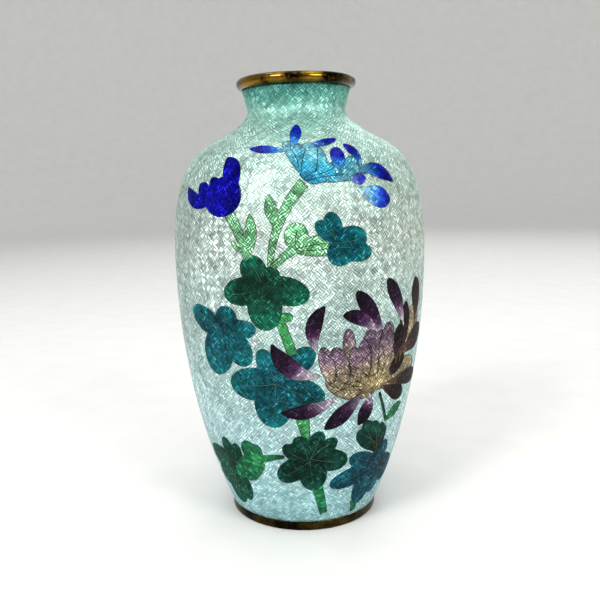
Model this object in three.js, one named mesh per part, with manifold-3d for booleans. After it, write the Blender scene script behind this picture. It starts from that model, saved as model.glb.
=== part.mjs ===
// Cloisonné enamel vase: a copper body in silver foil and enamel, a brass rim bead and a brass foot ring.
// Millimetres, +Z up. The origin is the centre of the foot's underside, and the flowers face -Y.
import * as THREE from 'three';
import { mergeVertices } from 'three/addons/utils/BufferGeometryUtils.js';
import Module from 'manifold-3d';

const wasm = await Module();
wasm.setup();

// Driving dimensions.
const HEIGHT = 180;
const BELLY_RADIUS = 51.57;
const FOOT = { outer: 31.1, inner: 27.4, top: 3.8, chamfer: 0.7 };
const RIM = { radius: 21.92, bead: 2.2, sides: 8 };
const LIP_Z = 175.4;
const BASE_Z = 4.0;
const SEGMENTS = 28;

// Wall layers, as depths below the outer enamel surface.
const ENAMEL = { near: 0, far: 0.9 };
const FOIL = { near: 1.0, far: 1.15 };
const COPPER = { near: 1.25, far: 2.25, floor: 1.0 };
const LINING = { near: 2.35, far: 2.85, floor: 0.5 };
const LAYER_GAP = 0.1;
const UNDERSIDE = { radius: 27.1, bottom: 3.1, top: 3.9 };

// The cloison wires stand in the gap between one enamel cell and the next.
const WIRE_GAP = 0.3;

// The decoration is drawn on a chart. Its x runs round the belly and its v runs up the wall, both in mm.
const CHART_START = 2.1;
const CUTTER_REACH = 5;
const SNAP = 1024;

// Outer surface as radius and height: foot to belly, belly to shoulder, shoulder to neck, neck to lip.
const WALL = [
  { steps: 4, ends: [31.3, BASE_Z, 35.5, 14, BELLY_RADIUS, 50.7, BELLY_RADIUS, 110.2] },
  { steps: 4, ends: [BELLY_RADIUS, 110.2, BELLY_RADIUS, 144.2, 41.7, 150.9, 34.35, 155] },
  { steps: 3, ends: [34.35, 155, 25.35, 160, 19.8, 163.4, 19.8, 167] },
  { steps: 1, ends: [19.8, 167, 19.8, 168, 21.5, 174.5, 21.9, LIP_Z] },
];

const outline = new THREE.CurvePath();
for (const { ends: [r0, z0, r1, z1, r2, z2, r3, z3] } of WALL) {
  outline.add(new THREE.CubicBezierCurve(
    new THREE.Vector2(r0, z0),
    new THREE.Vector2(r1, z1),
    new THREE.Vector2(r2, z2),
    new THREE.Vector2(r3, z3),
  ));
}
const OUTLINE_LENGTH = outline.getLength();

// Colours, as sRGB, with roughness and metalness.
const FINISHES = {
  copper: [0xb87348, 0.4, 1],
  brass: [0x7a5a24, 0.35, 1],
  silver: [0xd8dcdc, 0.3, 1],
  aqua: [0xb4d2cc, 0.12, 0.3],
  lining: [0x4d93a0, 0.2, 0],
  cobalt: [0x1414b0, 0.1, 0.2],
  sky: [0x3fa4d0, 0.1, 0.2],
  violet: [0x5866dc, 0.1, 0.2],
  leaf: [0x0c5238, 0.1, 0.2],
  teal: [0x10606a, 0.1, 0.2],
  sprout: [0x3f9455, 0.1, 0.2],
  plum: [0x4a2444, 0.1, 0.2],
  lilac: [0x94748a, 0.1, 0.2],
  umber: [0x4c4240, 0.1, 0.2],
  gold: [0xb49a68, 0.1, 0.2],
};

// Enamel cells, front to back, so that each one gives way to those before it.
// A stroke is kind, base x, base v, tip x, tip v, width, and how far its middle bends to the left.
const CELLS = [
  // Chrysanthemum, inner petals.
  ['mum_inner_left', 'lilac', [['lobe', 12.4, 67, 8.2, 81, 5.6, 0.4]]],
  ['mum_inner_scallop', 'lilac', [['lobe', 17.8, 66.4, 12.6, 80.6, 6.8, 0]]],
  ['mum_inner_small', 'lilac', [
    ['lobe', 23.4, 66.6, 20.4, 80, 5.6, 0],
    ['lobe', 27, 68, 24.6, 82.6, 5.8, 0.4],
  ]],
  ['mum_inner_upright', 'lilac', [['lobe', 19.4, 73.2, 17.8, 87.2, 5.2, 0]]],
  ['mum_inner_right', 'lilac', [['lobe', 35.6, 69, 36.6, 87.8, 7.8, 0]]],
  ['mum_inner_top', 'lilac', [
    ['lobe', 31, 68, 27.4, 86, 9, 0.8],
    ['lobe', 32, 70, 32.4, 85.4, 7, 0],
  ]],
  // Chrysanthemum, outer petals, clockwise from the left.
  ['mum_petal_curl', 'plum', [['petal', 6.2, 78.6, 9, 96.2, 5.6, 3]]],
  ['mum_petal_crescent', 'plum', [['spoon', 31.4, 83, 15.8, 92.4, 5, -2.4]]],
  ['mum_petal_upper', 'plum', [['spoon', 34.4, 80, 21, 100.8, 6, -0.9]]],
  ['mum_petal_top', 'plum', [['spoon', 46, 84.6, 34.8, 104.2, 5.8, -0.8]]],
  ['mum_petal_spur', 'umber', [['spoon', 42.8, 70.4, 43.6, 86, 6.6, 0.3]]],
  ['mum_petal_spear', 'umber', [['spoon', 45.2, 70, 46.4, 94.2, 6.6, -0.6]]],
  ['mum_petal_edge', 'umber', [['spoon', 55.6, 84, 53.4, 102.6, 8, -1.2]]],
  ['mum_petal_round', 'plum', [['lobe', 39.4, 67.2, 48, 73.4, 6.4, 0]]],
  ['mum_petal_side', 'umber', [['spoon', 44.8, 73, 66, 80.4, 9.6, 1]]],
  ['mum_petal_long', 'umber', [['spoon', 36.2, 62.8, 68, 60, 6.6, 1.4]]],
  ['mum_petal_low', 'plum', [['spoon', 34.6, 62.4, 52.2, 55.4, 6.8, 0.4]]],
  ['mum_petal_down', 'plum', [['petal', 29.2, 60.8, 25, 48, 6.6, 1.4]]],
  ['mum_petal_dagger', 'plum', [['petal', 25.4, 61.2, 9.4, 48, 6.8, 0.6]]],
  ['mum_petal_tail', 'plum', [['petal', 14.5, 61.4, -8.8, 55.2, 5.8, 2.2]]],
  ['mum_petal_wing', 'plum', [['petal', 7.2, 70, -10.8, 82.4, 7.2, 3.8]]],
  ['mum_heart', 'gold', [
    ['lobe', 34, 64, 9.4, 68.5, 14, 0],
    ['lobe', 34, 63, 19, 78, 13, 0],
    ['lobe', 22, 70, 10.4, 73.2, 7, 0],
    ['lobe', 32, 62, 41, 78.4, 13.4, 0],
    ['lobe', 36, 67, 60, 66.4, 11, 0],
  ]],
  ['mum_veil', 'gold', [['lobe', 48, 74, 55, 92, 14, 0]]],
  ['mum_stem', 'leaf', [['stem', 34.6, 60, 41.4, 47.5, [0.9, 1.3], 0]]],
  ['mum_leaf', 'sprout', [['petal', 40.8, 46.2, 53.4, 51.6, 5, 0.6]]],
  // Blue flower.
  ['blue_petal_left', 'cobalt', [['petal', -4.4, 153, -23, 155, 3.8, -0.2]]],
  ['blue_petal_top', 'cobalt', [['spoon', -2.6, 153.6, -0.2, 171.4, 6.6, -0.5]]],
  ['blue_petal_upper', 'cobalt', [['petal', 4.4, 155, 21, 160, 3.8, -0.2]]],
  ['blue_petal_egg', 'cobalt', [['spoon', 15.6, 143, 18.7, 154.4, 6.2, 0.2]]],
  ['blue_petal_hook', 'cobalt', [['spoon', 26.4, 145, 22.6, 155.8, 4.8, -2]]],
  ['blue_petal_sickle', 'cobalt', [['petal', 25, 143.4, 41.8, 139.4, 5.8, 2.8]]],
  ['blue_petal_spot', 'violet', [['petal', 20.6, 140.4, 27.6, 141.2, 4, 0]]],
  ['blue_petal_drop', 'cobalt', [['spoon', 22.6, 137.6, 37.8, 133, 7.6, -0.6]]],
  ['blue_body', 'sky', [
    ['lobe', 5.4, 140.6, -6.5, 158, 8.6, -2],
    ['lobe', 6.6, 139.4, 5.5, 157.4, 12.4, 0],
    ['lobe', 1, 143, 29.4, 144.8, 7.4, -0.2],
    ['lobe', 16, 142, 26.6, 149.4, 6, 0],
  ]],
  // Bud.
  ['bud_petals', 'cobalt', [
    ['lobe', -39, 135.2, -21.8, 135.8, 14.4, 0],
    ['petal', -25.8, 135, -33, 150.8, 8, -2.2],
    ['petal', -34.5, 133.4, -54, 139, 5.2, 2.6],
    ['petal', -37, 134, -44.4, 140.4, 6, 0],
    ['petal', -33, 134, -38, 142.4, 6, -0.8],
    ['petal', -30.6, 137, -32, 142.6, 3.4, 0],
  ]],
  ['bud_stem', 'sprout', [
    ['stem', -27.2, 130.4, -18.8, 113.6, [4.4, 2.6], 1],
    ['petal', -18.4, 113.6, -18, 129.2, 4.2, -0.9],
    ['petal', -19.4, 115.4, -25.2, 119.6, 1.8, 0.5],
  ]],
  // Leaves and stems, upper half.
  ['upper_leaf', 'teal', [
    ['lobe', 13, 119.5, 6.4, 126, 5.4, 0],
    ['lobe', 13.5, 119, 11.2, 129.2, 6.6, 0],
    ['lobe', 12, 118.5, 25, 120.6, 9, 0],
    ['lobe', 13, 117, 26.9, 114.2, 7.4, 0],
    ['lobe', 13.5, 119.5, 16.5, 110.8, 10, 0],
  ]],
  ['branch_leaf', 'sprout', [
    ['lobe', -1.5, 116.8, -0.2, 125.9, 8.2, 0],
    ['lobe', -1.5, 117.5, 14, 119.6, 5.4, 0],
    ['lobe', -1.5, 116.6, 13, 115.8, 3.8, 0],
    ['stem', -9.4, 110.4, -1.2, 117, [1.8, 3], 0.4],
  ]],
  ['centre_leaf', 'leaf', [
    ['lobe', -13.5, 104.5, -19.6, 114, 9.6, 0],
    ['lobe', -12.5, 103, -29, 100.2, 10, 0],
    ['lobe', -12.8, 105, -13, 87.6, 12.8, 0],
    ['lobe', -13, 104, 3.3, 100, 10, 0],
    ['lobe', -13, 104, -8, 109.9, 6, 0],
  ]],
  ['blue_stem', 'sprout', [
    ['stem', -10.3, 109.5, 2.3, 139.8, [1.7, 4.4], 3.2],
    ['petal', -7.4, 123.4, -10.8, 136, 4.4, 0.4],
  ]],
  ['middle_stem', 'sprout', [
    ['stem', -8.6, 95, -3, 78.4, [3, 3.6], 0],
    ['lobe', -7, 92.6, -2.6, 92.6, 3, 0],
  ]],
  ['left_leaf', 'teal', [
    ['lobe', -31, 86, -48.2, 92.6, 9.6, 0],
    ['lobe', -29.6, 86, -28.6, 95.6, 9.8, 0],
    ['lobe', -31, 86, -16.8, 88, 7.4, 0],
    ['lobe', -30.5, 87.5, -20.5, 74, 11.4, 0],
    ['lobe', -31, 87.5, -38.2, 68.8, 15, 0],
  ]],
  // Leaves and stems, lower half.
  ['broad_leaf', 'teal', [
    ['lobe', -10.5, 68, -15.4, 80.2, 7.6, 0],
    ['lobe', -8, 67.5, -29.8, 65.2, 12.8, 0],
    ['lobe', -11, 67.5, 9, 60.6, 11, 0],
    ['lobe', -12, 60, 4, 57.6, 6, 0],
    ['lobe', -15, 70, -2.5, 69.4, 7, 0],
    ['lobe', -10, 68, -13.4, 49, 15.6, 0],
  ]],
  ['broad_leaf_tip', 'teal', [['lobe', -5.4, 71.6, 4.6, 80.4, 8.6, 0]]],
  ['bottom_leaf', 'leaf', [
    ['lobe', 2.5, 34, -2.6, 44.9, 8.4, 0],
    ['lobe', 2.5, 34, -9, 40.4, 7.4, 0],
    ['lobe', 3, 34.5, 8.2, 47, 7.6, 0],
    ['lobe', 3, 34.5, 15.4, 43, 7.2, 0],
    ['lobe', 2, 35.5, 21.8, 32.4, 10.2, 0],
    ['lobe', 4, 34.5, -12.6, 25.4, 10.4, 0],
    ['lobe', 3.4, 35, 6.4, 19.7, 13.6, 0],
  ]],
  ['lower_stem', 'sprout', [['stem', 0.2, 52.6, 2.6, 39.6, [5.4, 1.8], 0]]],
  ['bottom_stem', 'sprout', [['stem', 7, 22, 12.3, 6.6, [5.6, 4.4], 0]]],
  ['fan_leaf', 'leaf', [
    ['lobe', 40, 35.6, 25.2, 44.4, 8, 0],
    ['lobe', 39.5, 34, 28.4, 48.8, 7.6, 0],
    ['lobe', 39.5, 33.4, 33.6, 47.8, 8, 0],
    ['lobe', 39.5, 33, 39.4, 46.2, 7, 0],
    ['lobe', 39.5, 33, 42.6, 44, 5.4, 0],
  ]],
  ['right_leaf', 'teal', [
    ['lobe', 42, 26.5, 23.2, 33.2, 8.6, 0],
    ['lobe', 41, 27, 14, 21.4, 9.4, 0],
    ['lobe', 39, 28, 34.2, 8.2, 15, 0],
    ['lobe', 39, 28, 48.2, 12, 13, 0],
    ['lobe', 38, 27, 64, 18, 13, 0],
    ['lobe', 38, 26, 48, 35.6, 10.5, 0],
  ]],
  ['right_stem', 'sprout', [['stem', 32.6, 11, 34, 4.4, [6, 3.6], 0]]],
  ['light_leaf', 'sprout', [
    ['lobe', -22, 31.5, -29, 40.4, 8.8, 0],
    ['lobe', -25, 30.5, -21.4, 40, 7.2, 0],
    ['lobe', -19.4, 35, -38.8, 23.2, 9, 0],
    ['lobe', -19.4, 34, -31.4, 22.4, 7.6, 0],
    ['stem', -22, 32.8, -8.6, 35.7, [3.6, 1.2], 0.6],
  ]],
  ['left_green_leaf', 'leaf', [
    ['lobe', -37, 26, -41.8, 39.8, 8.4, 0],
    ['lobe', -37.5, 26, -33.2, 38.4, 7.2, 0],
    ['lobe', -33, 26, -60, 29.4, 12.4, 0],
    ['lobe', -33, 25.4, -58.5, 17.6, 11.6, 0],
    ['lobe', -37.5, 27.5, -47.5, 7.4, 16, 0],
    ['lobe', -37.5, 27.5, -35, 10.2, 11, 0],
  ]],
];

// Half-width along a stroke as a share of its greatest, from base (t = 0) to tip (t = 1).
const HALF_WIDTH = {
  lobe: (t) => Math.sqrt(Math.max(0, 1 - (2 * t - 1) ** 2)),
  petal: (t) => Math.sin(Math.PI * t ** 1.25) ** 0.8,
  spoon: (t) => Math.sin(Math.PI * t ** 1.7) ** 0.65,
};
const STROKE_STEPS = { lobe: 6, petal: 5, spoon: 5, stem: 3 };

// Closed outline of one stroke on the chart, grown on every side by `grow`.
function strokeOutline([kind, x0, v0, x1, v1, width, bend], grow) {
  const base = new THREE.Vector2(x0, v0);
  const tip = new THREE.Vector2(x1, v1);
  const along = tip.clone().sub(base).normalize();
  const left = new THREE.Vector2(-along.y, along.x);
  const middle = base.clone().add(tip).multiplyScalar(0.5).addScaledVector(left, 2 * bend);
  base.addScaledVector(middle.clone().sub(base).normalize(), -grow);
  tip.addScaledVector(tip.clone().sub(middle).normalize(), grow);
  const spine = new THREE.QuadraticBezierCurve(base, middle, tip);
  const halfWidth = (t) => {
    if (kind === 'stem') return (width[0] + (width[1] - width[0]) * t) / 2 + grow;
    return (width / 2 + grow) * HALF_WIDTH[kind](t);
  };
  const steps = STROKE_STEPS[kind];
  const closed = kind !== 'stem';
  const leftSide = [];
  const rightSide = [];
  for (let i = closed ? 1 : 0; i <= (closed ? steps - 1 : steps); i += 1) {
    const t = closed ? (1 - Math.cos(Math.PI * i / steps)) / 2 : i / steps;
    const point = spine.getPoint(t);
    const tangent = spine.getTangent(t);
    const normal = new THREE.Vector2(-tangent.y, tangent.x);
    leftSide.push(point.clone().addScaledVector(normal, halfWidth(t)));
    rightSide.unshift(point.clone().addScaledVector(normal, -halfWidth(t)));
  }
  if (!closed) return [...leftSide, ...rightSide];
  return [spine.getPoint(0), ...leftSide, spine.getPoint(1), ...rightSide];
}

// Point of the wall's outer surface under a point of the chart.
function onWall({ x, y }) {
  const along = THREE.MathUtils.clamp((y - CHART_START) / OUTLINE_LENGTH, 0, 1);
  const { x: radius, y: z } = outline.getPoint(along);
  const turn = x / BELLY_RADIUS;
  return new THREE.Vector3(radius * Math.sin(turn), -radius * Math.cos(turn), z);
}

// Outward normal of the wall under a point of the chart.
function wallNormal({ x, y }) {
  const { x: dr, y: dz } = outline.getTangent((y - CHART_START) / OUTLINE_LENGTH);
  const turn = x / BELLY_RADIUS;
  return new THREE.Vector3(dz * Math.sin(turn), -dz * Math.cos(turn), -dr);
}

// Rounding to a binary fraction keeps a cutter's flat sides exactly flat in 32-bit numbers.
function snapped(vector) {
  return vector.multiplyScalar(SNAP).round().divideScalar(SNAP);
}

// Cutter through the wall, shaped like a stroke and as deep as `reach` on both sides of the surface.
function strokeCutter(stroke, grow, reach) {
  const points = strokeOutline(stroke, grow);
  if (THREE.ShapeUtils.isClockWise(points)) points.reverse();
  const count = points.length;
  const surface = points.map((point) => snapped(onWall(point)));
  const vertices = [
    ...surface.flatMap((point) => point.clone().sub(reach).toArray()),
    ...surface.flatMap((point) => point.clone().add(reach).toArray()),
  ];
  const triangles = [];
  for (const [a, b, c] of THREE.ShapeUtils.triangulateShape(points, [])) {
    triangles.push(a, c, b, a + count, b + count, c + count);
  }
  for (let i = 0; i < count; i += 1) {
    const next = (i + 1) % count;
    triangles.push(i, next, next + count, i, next + count, i + count);
  }
  return toManifold(vertices, triangles);
}

function joined(solids) {
  return solids.reduce((whole, solid) => whole.add(solid));
}

function cellCutter(strokes, grow) {
  const middle = new THREE.Vector2();
  for (const [, x0, v0, x1, v1] of strokes) {
    middle.add(new THREE.Vector2(x0 + x1, v0 + v1).divideScalar(2 * strokes.length));
  }
  const reach = snapped(wallNormal(middle).multiplyScalar(CUTTER_REACH));
  return joined(strokes.map((stroke) => strokeCutter(stroke, grow, reach)));
}

function closedGeometry(geometry) {
  geometry.deleteAttribute('normal');
  geometry.deleteAttribute('uv');
  return mergeVertices(geometry, 1e-4);
}

function toManifold(vertices, triangles) {
  return new wasm.Manifold(new wasm.Mesh({
    numProp: 3,
    vertProperties: Float32Array.from(vertices),
    triVerts: Uint32Array.from(triangles),
  }));
}

function toGeometry(solid) {
  const { vertProperties, triVerts } = solid.getMesh();
  const geometry = new THREE.BufferGeometry();
  geometry.setAttribute('position', new THREE.BufferAttribute(vertProperties, 3));
  geometry.setIndex(new THREE.BufferAttribute(triVerts, 1));
  return geometry;
}

// The wall's outline at a depth below the enamel surface, from the foot up to the lip.
function wallAt(depth) {
  const points = [];
  WALL.forEach(({ steps }, part) => {
    const curve = outline.curves[part];
    for (let i = part === 0 ? 0 : 1; i <= steps; i += 1) {
      const tangent = curve.getTangent(i / steps);
      const point = curve.getPoint(i / steps);
      point.x -= depth * tangent.y;
      point.y = Math.min(point.y + depth * tangent.x, LIP_Z);
      points.push(point);
    }
  });
  return points;
}

// Turned solid from a profile of radius and height, with its outside traced upwards.
function turned(profile) {
  const geometry = new THREE.LatheGeometry(profile, SEGMENTS);
  geometry.rotateX(Math.PI / 2);
  return closedGeometry(geometry);
}

function sleeve({ near, far }) {
  const outside = wallAt(near);
  return turned([...outside, ...wallAt(far).reverse(), outside[0].clone()]);
}

// The same outline with its first point slid along the wall to height z.
function wallFrom(z, depth) {
  const points = wallAt(depth);
  const [first, second] = points;
  first.x += (z - first.y) * (second.x - first.x) / (second.y - first.y);
  first.y = z;
  return points;
}

// Cup: the sleeve closed by a flat floor.
function cup({ near, far, floor }, underside) {
  return turned([
    new THREE.Vector2(0, underside),
    ...wallFrom(underside, near),
    ...wallFrom(underside + floor, far).reverse(),
    new THREE.Vector2(0, underside + floor),
  ]);
}

function disc({ radius, bottom, top }) {
  return turned([
    new THREE.Vector2(0, bottom),
    new THREE.Vector2(radius, bottom),
    new THREE.Vector2(radius, top),
    new THREE.Vector2(0, top),
  ]);
}

function footRing() {
  const { outer, inner, top, chamfer } = FOOT;
  return turned([
    new THREE.Vector2(inner, 0),
    new THREE.Vector2(outer - chamfer, 0),
    new THREE.Vector2(outer, chamfer),
    new THREE.Vector2(outer, top - chamfer),
    new THREE.Vector2(outer - chamfer, top),
    new THREE.Vector2(inner, top),
    new THREE.Vector2(inner, 0),
  ]);
}

function rimBead() {
  const geometry = new THREE.TorusGeometry(RIM.radius, RIM.bead, RIM.sides, SEGMENTS);
  geometry.translate(0, 0, HEIGHT - RIM.bead);
  return closedGeometry(geometry);
}

const group = new THREE.Group();

function addPiece(name, finish, geometry) {
  const [color, roughness, metalness] = FINISHES[finish];
  const material = new THREE.MeshStandardMaterial({ color, roughness, metalness });
  const mesh = new THREE.Mesh(geometry, material);
  mesh.name = name;
  group.add(mesh);
}

const LINING_Z = BASE_Z + COPPER.floor + LAYER_GAP;
addPiece('foot_ring', 'brass', footRing());
addPiece('rim_bead', 'brass', rimBead());
addPiece('copper_body', 'copper', cup(COPPER, BASE_Z));
addPiece('silver_foil', 'silver', sleeve(FOIL));
addPiece('lining_enamel', 'lining', cup(LINING, LINING_Z));
addPiece('underside_enamel', 'lining', disc(UNDERSIDE));

const coatGeometry = sleeve(ENAMEL);
const coat = toManifold(coatGeometry.getAttribute('position').array, coatGeometry.index.array);
const grown = [];
for (const [name, finish, strokes] of CELLS) {
  const cell = grown.reduce((rest, front) => rest.subtract(front), cellCutter(strokes, 0));
  addPiece(name, finish, toGeometry(cell.intersect(coat)));
  grown.push(cellCutter(strokes, WIRE_GAP));
}
addPiece('ground_enamel', 'aqua', toGeometry(coat.subtract(joined(grown))));

export default group;
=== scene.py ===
# Looks for the cloisonné enamel vase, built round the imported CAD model.
# Chart lengths are in millimetres, as in the CAD source. Blender's own lengths are in metres.
import math

import bpy
import numpy as np
from mathutils import Matrix, Vector


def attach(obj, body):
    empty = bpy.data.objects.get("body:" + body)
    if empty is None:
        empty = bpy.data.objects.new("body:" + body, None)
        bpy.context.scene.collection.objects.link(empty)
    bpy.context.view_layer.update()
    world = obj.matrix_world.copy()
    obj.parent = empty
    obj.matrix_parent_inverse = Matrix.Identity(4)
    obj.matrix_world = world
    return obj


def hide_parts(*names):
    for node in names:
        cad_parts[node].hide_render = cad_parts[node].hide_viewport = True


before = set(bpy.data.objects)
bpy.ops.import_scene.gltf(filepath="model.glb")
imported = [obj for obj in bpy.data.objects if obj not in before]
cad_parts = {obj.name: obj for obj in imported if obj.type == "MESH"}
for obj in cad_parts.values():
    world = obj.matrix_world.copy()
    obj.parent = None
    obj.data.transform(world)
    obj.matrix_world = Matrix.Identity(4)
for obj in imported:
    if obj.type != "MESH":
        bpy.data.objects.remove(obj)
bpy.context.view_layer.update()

MM = 0.001

# Driving dimensions, as in the CAD source.
BELLY_RADIUS = 51.57
BASE_Z = 4.0
LIP_Z = 175.4
FOOT_OUTER = 31.1
FOOT_INNER = 27.4
FOOT_TOP = 3.8
RIM_RADIUS = 21.92
RIM_BEAD = 2.2
RIM_Z = 177.8
ENAMEL_DEPTH = 0.9
# Wall layers: depth of the near and far side below the outer surface, and the floor's underside and top.
COPPER = (1.25, 2.25, (4.0, 5.0))
LINING = (2.35, 2.85, (5.1, 5.6))
# How far in from the wall the floor's corner starts.
CORNER = 1.0
UNDERSIDE_RADIUS = 27.1
UNDERSIDE_BOTTOM = 3.1
UNDERSIDE_TOP = 3.9
# The gap between cells, and the chart height at which the wall starts.
WIRE_GAP = 0.3
CHART_START = 2.1

# Fineness of the meshes.
TURNS = 288
WAVES = 5
WALL_STEPS = 56
GROUND_ROWS = 168
GRID = 0.32
OUTLINE_POINTS = 56
LINE_POINTS = 24
BEAD_POINTS = 32
SMOOTHINGS = 3
# A grid square's corners, in order round it.
SQUARE = ((0, 0), (1, 0), (1, 1), (0, 1))

# The enamel fillings stand this far above the ground. Their edges creep under the wires and dip there.
# The distance to a filling's edge is stored up to the last of these.
FILL_RISE = 0.04
FILL_DIP = 0.01
FILL_SHOULDER = 0.16
FILL_CREEP = 0.12
INSET_REACH = 2
# The half thickness of the wires round the cells, in the leaves and in the flowers.
WIRE_HALF = 0.08
VEIN_HALF = 0.052
FLOWER_WIRE_HALF = 0.136
# How far the wires stand up and reach down, their rounded top's shape, and how few points are too few.
WIRE_RISE = 0.07
WIRE_DEPTH = 0.25
WIRE_SHOULDER = 0.6
WIRE_CROWN = 0.55
SHORTEST = 4
# Distances are cut off this far outside a stroke, and notches between strokes are rounded by the second.
FAR = 1.6
BLEND = 0.5

# Outer surface as Bezier radius and height: foot to belly, belly to shoulder, shoulder to neck, neck to lip.
WALL = [
    [(31.3, BASE_Z), (35.5, 14), (BELLY_RADIUS, 50.7), (BELLY_RADIUS, 110.2)],
    [(BELLY_RADIUS, 110.2), (BELLY_RADIUS, 144.2), (41.7, 150.9), (34.35, 155)],
    [(34.35, 155), (25.35, 160), (19.8, 163.4), (19.8, 167)],
    [(19.8, 167), (19.8, 168), (21.5, 174.5), (21.9, LIP_Z)],
]


def stroke_kind(kind):
    """Makes strokes of one kind from a base, a tip, a width and how far the middle bends to the left."""
    return lambda x0, v0, x1, v1, width, bend=0: (kind, x0, v0, x1, v1, width, bend)


lobe, petal, spoon, stem = map(stroke_kind, ("lobe", "petal", "spoon", "stem"))

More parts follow.
